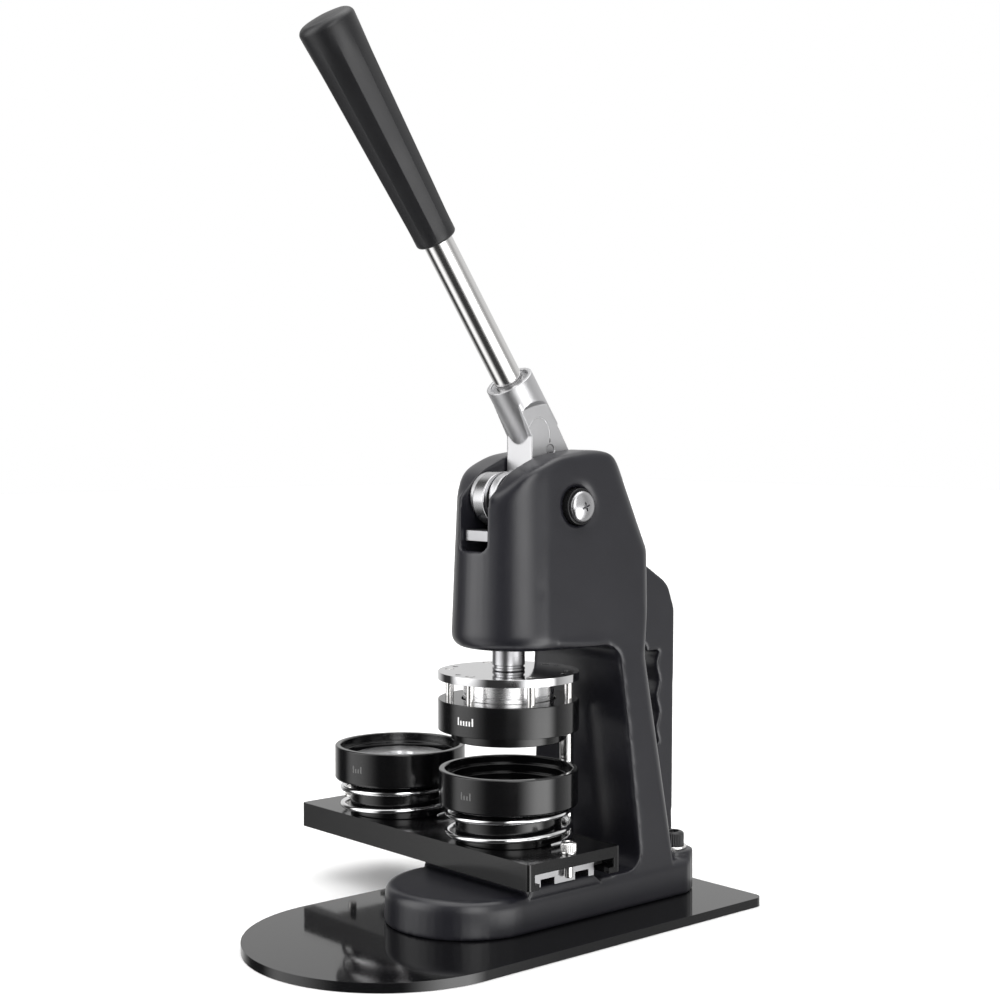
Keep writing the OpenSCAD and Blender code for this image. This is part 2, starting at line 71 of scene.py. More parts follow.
def make_camera():
    data = bpy.data.cameras.new("camera")
    data.lens = LENS
    data.sensor_width = 36
    data.clip_start = 0.02
    data.clip_end = 40
    camera = bpy.data.objects.new("camera", data)
    scene.collection.objects.link(camera)
    camera.location = CAMERA_AT
    ahead = -toward * math.cos(PITCH) - Vector((0, 0, math.sin(PITCH)))
    camera.rotation_mode = "QUATERNION"
    camera.rotation_quaternion = ahead.to_track_quat("-Z", "Y")
    scene.camera = camera


class Nodes:
    """Short calls for building a node tree."""

    def __init__(self, tree):
        self.tree = tree

    def add(self, kind, inputs=None, **settings):
        made = self.tree.nodes.new(kind)
        for key, value in settings.items():
            setattr(made, key, value)
        for key, value in (inputs or {}).items():
            self.feed(made, key, value)
        return made

    def feed(self, made, key, value):
        if isinstance(value, bpy.types.NodeSocket):
            self.tree.links.new(value, made.inputs[key])
        else:
            made.inputs[key].default_value = value

    def math(self, operation, a, b=0.0, c=0.0):
        return self.add("ShaderNodeMath", {0: a, 1: b, 2: c}, operation=operation).outputs[0]

    def ramp(self, value, low, high, to_low=0.0, to_high=1.0, smooth=True):
        kind = "SMOOTHSTEP" if smooth else "LINEAR"
        return self.add("ShaderNodeMapRange", {0: value, 1: low, 2: high, 3: to_low, 4: to_high},
                        interpolation_type=kind).outputs[0]

    def dot(self, a, b):
        return self.add("ShaderNodeVectorMath", {0: a, 1: b}, operation="DOT_PRODUCT").outputs["Value"]

    def window(self, value, a, b, c, d):
        """1 between b and c, falling softly to 0 at a and d."""
        return self.math("MULTIPLY", self.ramp(value, a, b), self.ramp(value, c, d, 1.0, 0.0))


def make_light():
    """A bright room behind the press, three soft boxes, an overhead panel and a white backdrop."""
    world = bpy.data.worlds.new("studio")
    scene.world = world
    world.use_nodes = True
    n = Nodes(world.node_tree)
    world.node_tree.nodes.clear()
    direction = n.add("ShaderNodeTexCoord").outputs["Generated"]
    ahead = n.dot(direction, tuple(toward))
    side = n.dot(direction, tuple(across))
    up = n.dot(direction, (0, 0, 1))
    turn = n.math("ARCTAN2", side, ahead)
    deg = math.radians
    room = n.math("ADD", n.ramp(turn, deg(52), deg(120), 0.05, 0.85), n.ramp(turn, deg(-125), deg(-155), 0.0, 0.73))
    low_window = n.window(up, -0.98, -0.8, 0.62, 0.9)
    right_box = n.math("MULTIPLY", n.window(turn, deg(10), deg(52), deg(64), deg(86)),
                       n.ramp(up, -0.15, -0.08, 4.6, 0.9))
    front_box = n.math("MULTIPLY", n.window(turn, deg(-10), deg(6), deg(18), deg(36)),
                       n.ramp(up, -0.13, -0.09, 0.0, 4.2))
    left_box = n.math("MULTIPLY", n.window(turn, deg(-112), deg(-88), deg(-74), deg(-32)),
                      n.ramp(up, -0.16, -0.08, 1.5, 3.2))
    boxes = n.math("MULTIPLY", n.math("ADD", n.math("ADD", right_box, front_box), left_box), low_window)
    top = n.ramp(up, 0.72, 0.97, 0.0, 2.6)
    level = n.math("ADD", n.math("ADD", room, boxes), top)
    lit = n.add("ShaderNodeBackground", {"Color": (1, 0.998, 0.994, 1), "Strength": level})
    plain = n.add("ShaderNodeBackground", {"Color": (1, 1, 1, 1), "Strength": 1.0})
    seen = n.add("ShaderNodeLightPath").outputs["Is Camera Ray"]
    mix = n.add("ShaderNodeMixShader", {0: seen, 1: lit.outputs[0], 2: plain.outputs[0]})
    n.add("ShaderNodeOutputWorld", {"Surface": mix.outputs[0]})
    scene.view_settings.view_transform = "Standard"


def make_floor():
    mesh = bpy.data.meshes.new("floor")
    side = 6.0
    mesh.from_pydata([(-side, -side, 0), (side, -side, 0), (side, side, 0), (-side, side, 0)], [], [(0, 1, 2, 3)])
    floor = bpy.data.objects.new("floor", mesh)
    scene.collection.objects.link(floor)
    floor.location.z = -0.0002
    floor.visible_glossy = False
    material = bpy.data.materials.new("floor")
    material.use_nodes = True
    n = Nodes(material.node_tree)
    shader = material.node_tree.nodes["Principled BSDF"]
    grain = n.add("ShaderNodeTexNoise", {"Scale": 6.0, "Detail": 3.0})
    tone = n.add("ShaderNodeMix", {0: grain.outputs[0], 6: (0.93, 0.93, 0.93, 1), 7: (0.95, 0.95, 0.95, 1)},
                 data_type="RGBA")
    n.feed(shader, "Base Color", tone.outputs[2])
    shader.inputs["Roughness"].default_value = 0.8
    shader.inputs["Specular IOR Level"].default_value = 0.0
    mesh.materials.append(material)


# ---------- materials ----------

def finish(name, color, rough, metal=0.0, vary=0.05, tint=0.1, grain=900, bump=0.02, lines=None, centre=(0, 0, 0),
           axis="Z", coat=0.0, spec=0.5, smudge=40):
    """A surface with broad smudges and a fine grain. lines adds turned or brushed marks: "turned" or "X", "Y", "Z"."""
    material = bpy.data.materials.new(name)
    material.use_nodes = True
    n = Nodes(material.node_tree)
    shader = material.node_tree.nodes["Principled BSDF"]
    place = n.add("ShaderNodeTexCoord").outputs["Object"]
    broad = n.add("ShaderNodeTexNoise", {"Vector": place, "Scale": smudge, "Detail": 4.0, "Roughness": 0.6}).outputs[0]
    fine = n.add("ShaderNodeTexNoise", {"Vector": place, "Scale": grain, "Detail": 2.0}).outputs[0]
    mark = fine
    if lines:
        local = n.add("ShaderNodeVectorMath", {0: place, 1: centre}, operation="SUBTRACT").outputs[0]
        part = n.add("ShaderNodeSeparateXYZ", {0: local})
        x, y, z = part.outputs
        if lines == "turned":
            along = {"X": x, "Y": y, "Z": z}[axis]
            flat = {"X": (y, z), "Y": (x, z), "Z": (x, y)}[axis]
            radius = n.math("SQRT", n.math("ADD", n.math("MULTIPLY", flat[0], flat[0]),
                                           n.math("MULTIPLY", flat[1], flat[1])))
            spread = n.add("ShaderNodeCombineXYZ", {0: radius, 1: along, 2: 0.0}).outputs[0]
        else:
            squeeze = {"X": (0.03, 1, 1), "Y": (1, 0.03, 1), "Z": (1, 1, 0.03)}[lines]
            spread = n.add("ShaderNodeVectorMath", {0: local, 1: squeeze}, operation="MULTIPLY").outputs[0]
        mark = n.add("ShaderNodeTexNoise", {"Vector": spread, "Scale": grain * 1.6, "Detail": 3.0}).outputs[0]
    low = tuple(c * (1 - tint) for c in color) + (1,)
    high = tuple(min(1.0, c * (1 + tint)) for c in color) + (1,)
    tone = n.add("ShaderNodeMix", {0: broad, 6: low, 7: high}, data_type="RGBA").outputs[2]
    n.feed(shader, "Base Color", tone)
    blend = n.math("ADD", n.math("MULTIPLY", broad, 0.6), n.math("MULTIPLY", mark, 0.4))
    n.feed(shader, "Roughness", n.ramp(blend, 0.3, 0.7, max(0.02, rough - vary), rough + vary, smooth=False))
    lift = n.add("ShaderNodeBump", {"Strength": 1.0, "Distance": bump * MM, "Height": mark}).outputs[0]
    n.feed(shader, "Normal", lift)
    shader.inputs["Metallic"].default_value = metal
    shader.inputs["Specular IOR Level"].default_value = spec
    shader.inputs["Coat Weight"].default_value = coat
    shader.inputs["Coat Roughness"].default_value = 0.08
    return material


def make_materials():
    black = (0.004, 0.004, 0.0043)
    return {
        "casting_black": finish("casting_black", (0.0112, 0.0112, 0.0150), 0.31, vary=0.03, grain=2600, bump=0.012),
        "plate_black": finish("plate_black", (0.004, 0.004, 0.0045), 0.07, vary=0.03, grain=420, bump=0.004, smudge=22),
        "black_screws": finish("black_screws", (0.03, 0.03, 0.031), 0.36, metal=0.6, grain=1800, bump=0.01),
        "bright_steel": finish("bright_steel", (0.74, 0.73, 0.72), 0.20, metal=1.0, grain=1500, bump=0.006),
        "plain_steel": finish("plain_steel", (0.56, 0.56, 0.57), 0.27, metal=1.0, grain=1500, bump=0.01),
        "chrome": finish("chrome", (0.80, 0.80, 0.81), 0.07, metal=1.0, vary=0.02, tint=0.02, grain=300, bump=0.001),
        "bare_aluminium": finish("bare_aluminium", (0.80, 0.80, 0.81), 0.26, metal=1.0, grain=1100, bump=0.010,
                                 lines="turned"),
        "cast_aluminium": finish("cast_aluminium", (0.56, 0.56, 0.57), 0.44, metal=1.0, vary=0.05, tint=0.06,
                                 grain=2400, bump=0.03),
        "grip_black": finish("grip_black", (0.006, 0.006, 0.0075), 0.44, vary=0.04, grain=3000, bump=0.012),
        "black_plastic": finish("black_plastic", (0.012, 0.012, 0.012), 0.38, grain=2000, bump=0.01),
        "black_steel": finish("black_steel", (0.02, 0.02, 0.021), 0.30, metal=0.5, grain=1600, bump=0.008),
        "bronze": finish("bronze", (0.46, 0.30, 0.14), 0.32, metal=1.0, grain=1300, bump=0.01, lines="turned"),
        "slide_black": finish("slide_black", black, 0.15, vary=0.04, grain=1500, bump=0.006, lines="X"),
        "die_black": finish("die_black", (0.003, 0.003, 0.0034), 0.14, vary=0.03, grain=1000, bump=0.003,
                            lines="turned"),
    }


# ---------- mesh helpers ----------

def piece(name, mesh, node, nodes=(), sharp=35, material=None):
    """A new piece that stands for a CAD node, rides on its body and takes its slot's finish."""
    made = bpy.data.objects.new(name, mesh)
    scene.collection.objects.link(made)
    mesh.materials.clear()
    mesh.materials.append(material or materials[slot_of[node]])
    mesh.polygons.foreach_set("use_smooth", [True] * len(mesh.polygons))
    mesh.set_sharp_from_angle(angle=math.radians(sharp))
    if sharp < 60:
        # Flat and straight faces keep their own direction beside a broken edge
        even = made.modifiers.new("even", "WEIGHTED_NORMAL")
        even.keep_sharp = True
    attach(made, body_of[node])
    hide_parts(node, *nodes)
    return made


def mesh_of(name, bm):
    bmesh.ops.recalc_face_normals(bm, faces=bm.faces)
    mesh = bpy.data.meshes.new(name)
    bm.to_mesh(mesh)
    bm.free()
    return mesh


def rounded(points):
    """Profile points (r, z) or (r, z, fillet), in millimetres, with the fillets drawn as arcs."""
    out = []
    count = len(points)
    for i, point in enumerate(points):
        b = Vector(point[:2])
        radius = point[2] if len(point) > 2 else 0
        a, c = Vector(points[i - 1][:2]), Vector(points[(i + 1) % count][:2])
        if radius <= 0:
            out.append(b)
            continue
        u, v = (a - b).normalized(), (c - b).normalized()
        half = math.acos(max(-1, min(1, u.dot(v)))) / 2
        reach = min(radius / math.tan(half), (a - b).length * 0.49, (c - b).length * 0.49)
        radius = reach * math.tan(half)
        middle = b + (u + v).normalized() * (radius / math.sin(half))
        p, q = b + u * reach - middle, b + v * reach - middle
        swing = math.atan2(p.x * q.y - p.y * q.x, p.dot(q))
        for k in range(6):
            t = swing * k / 5
            out.append(middle + Vector((p.x * math.cos(t) - p.y * math.sin(t), p.x * math.sin(t) + p.y * math.cos(t))))
    return out


def lathe(name, points, segments=160, closed=True):
    """Turns a profile about Z. Points on the axis become one vertex."""
    profile = rounded(points)
    bm = bmesh.new()
    rings = []
    for point in profile:
        if point.x < 1e-6:
            rings.append([bm.verts.new((0, 0, point.y * MM))])
        else:
            rings.append([bm.verts.new((point.x * MM * math.cos(2 * math.pi * k / segments),
                                        point.x * MM * math.sin(2 * math.pi * k / segments), point.y * MM))
                          for k in range(segments)])
    pairs = list(zip(rings, rings[1:] + rings[:1])) if closed else list(zip(rings, rings[1:]))
    for first, second in pairs:
        if len(first) == 1 and len(second) == 1:
            continue
        for k in range(segments):
            j = (k + 1) % segments
            if len(first) == 1:
                bm.faces.new((first[0], second[j], second[k]))
            elif len(second) == 1:
                bm.faces.new((first[k], first[j], second[0]))
            else:
                bm.faces.new((first[k], first[j], second[j], second[k]))
    return mesh_of(name, bm)


def place(mesh, matrix):
    mesh.transform(matrix)
    mesh.update()
    return mesh


def about_x(y, z):
    """From the lathe's axis to a line along X."""
    return Matrix.Translation((0, y * MM, z * MM)) @ Matrix.Rotation(math.radians(90), 4, "Y")


def cad_copy(node):
    """A CAD node's mesh with its split vertices joined again."""
    bm = bmesh.new()
    bm.from_mesh(frame["nodes"][node].data)
    bmesh.ops.remove_doubles(bm, verts=bm.verts, dist=2e-6)
    return bm


def apply_modifiers(mesh, build):
    """Runs modifiers on a mesh and gives back the result."""
    made = bpy.data.objects.new("work", mesh)
    scene.collection.objects.link(made)
    build(made)
    graph = bpy.context.evaluated_depsgraph_get()
    result = bpy.data.meshes.new_from_object(made.evaluated_get(graph))
    bpy.data.objects.remove(made)
    return result


def edged(node, width, segments=2, angle=28, material=None):
    """Stands for a CAD node whose shape is right, with its sharp edges broken."""
    bm = cad_copy(node)
    bmesh.ops.dissolve_limit(bm, angle_limit=math.radians(0.6), verts=bm.verts, edges=bm.edges)
    base = mesh_of(node + "_edged", bm)

    def build(made):
        bevel = made.modifiers.new("bevel", "BEVEL")
        bevel.width = width * MM
        bevel.segments = segments
        bevel.limit_method = "ANGLE"
        bevel.angle_limit = math.radians(angle)
        bevel.use_clamp_overlap = True

    return piece(node + "_edged", apply_modifiers(base, build), node, material=material, sharp=40)


def smoothed(node, voxel, soft, weight=None, strong=0):
    """A cast piece: the CAD shape with every edge softened. weight(point) in mm says how much more to soften there."""
    bm = cad_copy(node)
    base = mesh_of(node + "_cast", bm)

    def remesh(made):
        grid = made.modifiers.new("grid", "REMESH")
        grid.mode = "VOXEL"
        grid.voxel_size = voxel * MM
        relax = made.modifiers.new("relax", "SMOOTH")
        relax.factor = 0.5
        relax.iterations = soft

    mesh = apply_modifiers(base, remesh)
    if weight:
        def soften(made):
            group = made.vertex_groups.new(name="soft")
            for v in made.data.vertices:
                amount = weight(v.co / MM)
                if amount > 0:
                    group.add([v.index], amount, "REPLACE")
            relax = made.modifiers.new("relax", "SMOOTH")
            relax.factor = 0.5
            relax.iterations = strong
            relax.vertex_group = "soft"

        mesh = apply_modifiers(mesh, soften)
    return mesh


def smoothstep(low, high, value):
    t = max(0.0, min(1.0, (value - low) / (high - low)))
    return t * t * (3 - 2 * t)


# ---------- pieces ----------

def loft(name, rings, segments=144):
    """Closed skin through level rings. Each ring is (radius in mm, or a function of the angle, z in mm)."""
    bm = bmesh.new()
    made = []
    for radius, z in rings:
        if not callable(radius) and radius < 1e-6:
            made.append([bm.verts.new((0, 0, z * MM))])
            continue
        row = []
        for k in range(segments):
            t = 2 * math.pi * k / segments
            r = (radius(t) if callable(radius) else radius) * MM
            row.append(bm.verts.new((r * math.cos(t), r * math.sin(t), z * MM)))
        made.append(row)
    for first, second in zip(made, made[1:]):
        for k in range(segments):
            j = (k + 1) % segments
            if len(first) == 1:
                bm.faces.new((first[0], second[j], second[k]))
            elif len(second) == 1:
                bm.faces.new((first[k], first[j], second[0]))
            else:
                bm.faces.new((first[k], first[j], second[j], second[k]))
    return mesh_of(name, bm)


def hexagon(across_flats):
    sixth = math.pi / 3
    return lambda t: across_flats / 2 / math.cos((t % sixth) - sixth / 2)


def knurl(radius, ridges, depth):
    return lambda t: radius - depth * abs(math.sin(t * ridges / 2)) ** 0.7


def cap_screw(name, node, x, y, z, shank_d, head_d, head_h, flats, shank_l, ridges):
    """A socket-head screw with a knurled head. z is the underside of the head."""
    r = head_d / 2
    side = knurl(r, ridges, 0.035 * r)
    rings = [(0, -shank_l), (shank_d / 2 - 0.4, -shank_l), (shank_d / 2, -shank_l + 0.4), (shank_d / 2, 0),
             (r - 0.25, 0), (side, 0.25), (side, head_h - 0.09 * head_d), (r - 0.25, head_h - 0.06 * head_d),
             (r - 0.09 * head_d, head_h - 0.1), (r - 0.12 * head_d, head_h),
             (flats * 0.62, head_h), (flats * 0.6, head_h - 0.1), (hexagon(flats), head_h - 0.35),
             (hexagon(flats), head_h * 0.45), (0, head_h * 0.42)]
    mesh = loft(name, rings, ridges * 6)
    return piece(name, place(mesh, Matrix.Translation((x * MM, y * MM, z * MM))), node, sharp=30)


def turned(name, node, points, x=0.0, segments=160, material=None, nodes=()):
    mesh = lathe(name, points, segments)
    return piece(name, place(mesh, Matrix.Translation((x * MM, 0, 0))), node, nodes, material=material)


def tube_profile(outer, inner, low, high, edge=0.4):
    return [(outer, low, edge), (outer, high, edge), (inner, high, edge), (inner, low, edge)]


def rod_profile(radius, low, high, edge=0.4):
    return [(0, low), (radius, low, edge), (radius, high, edge), (0, high)]


def helix(name, node, x, mean_r, wire_d, low, high, turns, closing, steps=56, sides=14):
    """The CAD spring, drawn finer and with rounded wire ends."""
    bm = bmesh.new()
    rise = high - low - wire_d
    count = int(turns * steps)
    rows = []
    for i in range(count + 1):
        u = i / count
        z = low + wire_d / 2 + rise * (u - closing * math.sin(2 * math.pi * u) / (2 * math.pi))
        a = 2 * math.pi * i / steps
        shrink = 1.0
        for back in (i, count - i):
            if back < 3:
                shrink = (0.62, 0.85, 0.96)[back]
        row = []
        for j in range(sides):
            b = 2 * math.pi * j / sides
            r = mean_r + shrink * wire_d / 2 * math.cos(b)
            row.append(bm.verts.new(((x + r * math.cos(a)) * MM, r * math.sin(a) * MM,
                                     (z + shrink * wire_d / 2 * math.sin(b)) * MM)))
        rows.append(row)
    for first, second in zip(rows, rows[1:]):
        for j in range(sides):
            k = (j + 1) % sides
            bm.faces.new((first[j], second[j], second[k], first[k]))
    bm.faces.new(rows[0])
    bm.faces.new(list(reversed(rows[-1])))
    return piece(name, mesh_of(name, bm), node, sharp=60)


def make_casting():
    def weight(p):
        if p.z < 34:
            return 0.04
        if p.z < 44:
            return 0.04 + 0.16 * (p.z - 34) / 10
        if abs(p.x) < 9.5 and p.y > 79:
            return 0.04
        near_slot = abs(p.x) < 13.5 and p.y < 46 and p.z > 170
        if near_slot:
            return 0.02 if abs(p.x) < 12.4 or p.y > -28 else 0.05
        return 0.2 + 0.8 * smoothstep(200, 216, p.z) * (1 - 0.6 * smoothstep(34, 52, p.y))

    mesh = smoothed("cast_frame", 0.9, 3, weight, 130)
    piece("casting", mesh, "cast_frame", sharp=80)


def make_lever():
    mesh = smoothed("lever_arm", 0.4, 3)
    arm = piece("lever_casting", mesh, "lever_arm", sharp=60)
    # A faint parting line, like an upturned U, stands on each flat side of the arm
    bm = bmesh.new()
    for side in (-1, 1):
        path = [Vector((side * 10.35, 13.2 - 8.0 * math.cos(t), 266.0 + 10.4 * math.sin(t)))
                for t in (math.pi * k / 28 for k in range(4, 29))] + [Vector((side * 10.35, 21.2, 262.6))]
        rows = []
        for i, p in enumerate(path):
            along = (path[min(i + 1, len(path) - 1)] - path[max(i - 1, 0)]).normalized()
            out = Vector((1, 0, 0))
            over = along.cross(out)
            rows.append([bm.verts.new((p + out * 0.22 * math.cos(a) + over * 0.45 * math.sin(a)) * MM)
                         for a in (2 * math.pi * j / 8 for j in range(8))])
        for first, second in zip(rows, rows[1:]):
            for j in range(8):
                k = (j + 1) % 8
                bm.faces.new((first[j], second[j], second[k], first[k]))
        bm.faces.new(rows[0])
        bm.faces.new(list(reversed(rows[-1])))
    line = bpy.data.objects.new("lever_parting_line", mesh_of("lever_parting_line", bm))
    scene.collection.objects.link(line)
    line.data.materials.append(materials["cast_aluminium"])
    line.data.polygons.foreach_set("use_smooth", [True] * len(line.data.polygons))
    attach(line, "lever")
    # The socket's turned mouth: a bright rim round a recess whose metal is painted darker, as painted shade in the
    # recess
    for name, profile, material in (
            ("socket_rim", [(11.25, -1.5), (13.5, -1.5), (13.5, 0, 0.4), (11.25, 0, 0.3)], "cast_aluminium"),
            ("socket_recess", [(8.05, -2.4), (11.3, -2.4), (11.3, -1.3), (8.05, -1.3)], "socket_recess_painted_shade")):
        ring = bpy.data.objects.new(name, place(lathe(name, profile, 128), HANDLE))
        scene.collection.objects.link(ring)
        ring.data.materials.append(materials[material])
        ring.data.polygons.foreach_set("use_smooth", [True] * len(ring.data.polygons))
        ring.data.set_sharp_from_angle(angle=math.radians(30))
        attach(ring, "lever")
    return arm


# The handle's own frame stands in the socket, with z along the tube
SOCKET_Y = 0.2
SOCKET_Z = 296.3
HANDLE_TILT = 34.6
HANDLE = (Matrix.Translation((0, SOCKET_Y * MM, SOCKET_Z * MM))
          @ Matrix.Rotation(math.radians(HANDLE_TILT), 4, "X"))
TUBE_R = 8
TUBE_BORE_R = 6
TUBE_FREE = 89
GRIP_LENGTH = 128.7
NECK_R = 11.2
NECK_ROUND = 1.8
GRIP_R = 15.4
END_ROUND = 5.2
GRIP_FLATS = 10
FLAT_DEPTH = 0.62


def make_handle():
    tube = lathe("tube", tube_profile(TUBE_R, TUBE_BORE_R, -28, TUBE_FREE + GRIP_LENGTH - 20, 0.3), 96)
    piece("handle_tube", place(tube, HANDLE), "lever_tube", material=materials["tube_chrome"])
    rings = [(0, 0), (NECK_R - NECK_ROUND, 0)]

    def ring(distance, inset=0.0):
        base = NECK_R + (GRIP_R - NECK_R) * distance / GRIP_LENGTH
        depth = (FLAT_DEPTH * smoothstep(1.0, 12, distance)
                 * smoothstep(GRIP_LENGTH - 7, GRIP_LENGTH - 30, distance))

        def radius(t):
            step = 2 * math.pi / GRIP_FLATS
            off = (t % step) - step / 2
            flat = math.cos(step / 2) / math.cos(off)
            return (base - inset) * (1 - depth) + (base * flat * 1.012 - inset) * depth
        return radius

    for k in range(7):
        a = math.pi / 2 * k / 6
        distance = NECK_ROUND * (1 - math.cos(a))
        rings.append((ring(distance, NECK_ROUND * (1 - math.sin(a))), distance))
    steps = 48
    for k in range(1, steps):
        distance = NECK_ROUND + (GRIP_LENGTH - NECK_ROUND - END_ROUND) * k / steps
        rings.append((ring(distance), distance))
    for k in range(11):
        a = math.pi / 2 * k / 10
        distance = GRIP_LENGTH - END_ROUND + END_ROUND * 0.8 * math.sin(a)
        rings.append((ring(distance, END_ROUND * (1 - math.cos(a))), distance))
    dome = GRIP_R - END_ROUND
    for k in range(1, 7):
        r = dome * (1 - k / 6)
        rings.append((r, GRIP_LENGTH - 0.2 * END_ROUND * (r / dome) ** 2))
    at = HANDLE @ Matrix.Translation((0, 0, TUBE_FREE * MM))
    piece("grip", place(loft("grip", rings, 240), at), "lever_grip", sharp=80)


def make_roller():
    at = about_x(-7.4, 231.8)
    tread = lathe("tread", [(12.4, -4.5, 0.2), (15, -4.5, 0.8), (15, 4.5, 0.8), (12.4, 4.5, 0.2)], 128)
    piece("roller_tread", place(tread, at), "roller_race", material=materials["tread_steel"])
    shield = lathe("shield", [(7.35, 3.4), (12.3, 3.4), (12.3, 4.0, 0.2), (11.2, 4.2, 0.2), (8.4, 4.2, 0.2),
                              (7.35, 4.0, 0.2)], 128)
    other = shield.copy()
    other.transform(Matrix.Rotation(math.pi, 4, "X"))
    bm = bmesh.new()
    bm.from_mesh(shield)
    bm.from_mesh(other)
    piece("roller_shields", place(mesh_of("shields", bm), at), "roller_seals", sharp=30)
    inner = lathe("inner", tube_profile(7.2, 5.02, -4.5, 4.5, 0.3), 96)
    piece("roller_inner", place(inner, at), "roller_inner_race")
    pin = lathe("pin", rod_profile(5, -10.2, 10.2, 0.5), 96)
    piece("roller_axle", place(pin, at), "roller_pin")


PIVOT_Y = 22.5
PIVOT_Z = 228


def make_pivot():
    for side, node in ((-1, "left"), (1, "right")):
        bush = lathe("bush", [(5.02, 12, 0.3), (10, 12, 0.5), (10, 34.2, 0.9), (9.0, 34.2, 0.1), (9.0, 33.9, 0.1),
                              (5.02, 33.9, 0.2)], 128)
        at = (Matrix.Translation((0, PIVOT_Y * MM, PIVOT_Z * MM))
              @ Matrix.Rotation(math.radians(90 * side), 4, "Y"))
        piece("pivot_bush_turned_" + node, place(bush, at), "pivot_bush_" + node)
        edged("pivot_screw_" + node, 0.15, 2, angle=40, material=materials["screw_satin"])


RING_PINS = 6
PIN_CIRCLE_R = 33
SPRING_SEAT = 165
SPRING_TOP = 209.1


def make_ram():
    turned("ram_rod", "ram_shaft", [(0, 121.5), (5, 121.5, 0.5), (5, 137.3), (9, 137.3, 0.7), (9, 139.0, 0.3),
                                    (8.3, 139.2, 0.1), (8.3, 140.4, 0.1), (9, 140.6, 0.3), (9, 209.0, 0.5), (0, 209.0)],
           material=materials["ram_steel"])
    turned("core", "upper_die_core", [(0, 103.9), (25, 103.9, 0.6), (25, 124.2, 0.2), (24.7, 124.4), (24.7, 124.8),
                                      (25, 125.0, 0.2), (25, 133.0, 0.3), (0, 133.0)])
    turned("float_ring", "upper_die_ring", tube_profile(38.9, 26, 105.3, 122.2, 0.45), segments=200)
    turned("float_lip", "upper_lip_ring", [(26, 99.8, 0.4), (31.65, 99.8, 0.7), (31.65, 104.6, 0.3),
                                           (31.2, 105.3, 0.1), (26, 105.3)], segments=200)
    bm = bmesh.new()
    pin = lathe("pin", rod_profile(2.3, 114.2, 137.3, 0.5), 40)
    for k in range(RING_PINS):
        a = math.radians(40 + 60 * k)
        one = pin.copy()
        one.transform(Matrix.Translation((PIN_CIRCLE_R * MM * math.cos(a), PIN_CIRCLE_R * MM * math.sin(a), 0)))
        bm.from_mesh(one)
    piece("ring_pins", mesh_of("ring_pins", bm), "guide_pins")
    edged("upper_die_disc", 0.3, 2, material=materials["disc_chrome"])
    edged("ram_head_plate", 0.5, 3, material=materials["plate_steel"])
    spring = helix("ram_spring", "ram_return_spring", 0, 10.25, 1.8, SPRING_SEAT, SPRING_TOP, 8.5, 0.5, 40, 12)
    # The spring rides on the ram, so its top is what stays with it
    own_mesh(spring)


DIE_X = {"left": -97.4, "right": 0.0}
SLIDE_TOP = 44.3
POST_TOP = 70


def make_dies():
    for side, x in DIE_X.items():
        cup = [(29.46, 64, 0.3), (38.1, 64, 0.7), (38.5, 65.0, 0.4), (38.5, 83.1, 0.5), (38.0, 83.6, 0.35),
               (35.6, 83.6, 0.4), (35.25, 83.0, 0.3), (35.25, 79.1, 0.15), (32.2, 79.1, 0.35), (32.2, 74.6, 0.2),
               (29.46, 74.6, 0.35)]
        turned(side + "_cup_turned", side + "_cup", cup, x, 200, material=materials["cup_" + side])
        post = [(0, SLIDE_TOP), (29.4, SLIDE_TOP, 0.5), (29.4, POST_TOP, 0.6), (0, POST_TOP)]
        if side == "right":
            post = [(0, SLIDE_TOP), (29.4, SLIDE_TOP, 0.5), (29.4, POST_TOP, 0.5), (24, POST_TOP, 0.5),
                    (24, 67.5, 0.3), (0, 67.5)]
        turned(side + "_post_turned", side + "_die_post", post, x, 160, material=materials["cup_" + side])
        spring = helix(side + "_spring", side + "_die_spring", x, 34, 3, SLIDE_TOP, 64, 2.5, 0.7, 72, 16)
        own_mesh(spring)
    insert = [(0, 70), (28.5, 70), (28.5, 77, 1.0), (10, 77, 0.3), (10, 76.2, 0.2), (0, 76)]
    turned("insert_turned", "left_die_insert", insert, DIE_X["left"], material=materials["insert"])


def make_slide():
    edged("slide_channel", 0.35, 3)
    edged("slide_rail", 0.3, 2, material=materials["rail_aluminium"])
    edged("rail_guide_front", 0.3, 2)
    edged("rail_guide_rear", 0.3, 2)
    for side in ("left", "right"):
        low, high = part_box("stop_screw_" + side)
        x = (low.x + high.x) / 2 / MM
        cap_screw("stop_" + side, "stop_screw_" + side, x, 0, SLIDE_TOP + 1.3, 5, 8.5, 5, 4, 14.1, 30)
        ring = lathe("split", tube_profile(4.2, 2.55, SLIDE_TOP, SLIDE_TOP + 1.3, 0.25), 96)
        piece("stop_washer_turned_" + side, place(ring, Matrix.Translation((x * MM, 0, 0))), "stop_washer_" + side)


def make_base():
    edged("base_plate", 0.6, 3)
    for side in ("left", "right"):
        low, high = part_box("bolt_washer_" + side)
        x, y = (low.x + high.x) / 2 / MM, (low.y + high.y) / 2 / MM
        base, top = low.z / MM, high.z / MM
        ring = lathe("washer", tube_profile((high.x - low.x) / 2 / MM, 4.2, base, top, 0.35), 96)
        piece("bolt_washer_turned_" + side, place(ring, Matrix.Translation((x * MM, y * MM, 0))),
              "bolt_washer_" + side)
        cap_screw("rear_bolt_knurled_" + side, "rear_bolt_" + side, x, y, top, 8, 13, 8, 6, 29, 40)
    low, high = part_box("stop_post")
    base, top = low.z / MM, high.z / MM
    shoulder = base + 11
    profile = [(0, base), (3, base, 0.3), (3, shoulder), (3.9, shoulder, 0.3), (3.9, top, 0.6), (0, top)]
    post = lathe("post", profile, 96)
    piece("post_turned", place(post, Matrix.Translation((0, (low.y + high.y) / 2, 0))), "stop_post",
          material=materials["tube_chrome"])


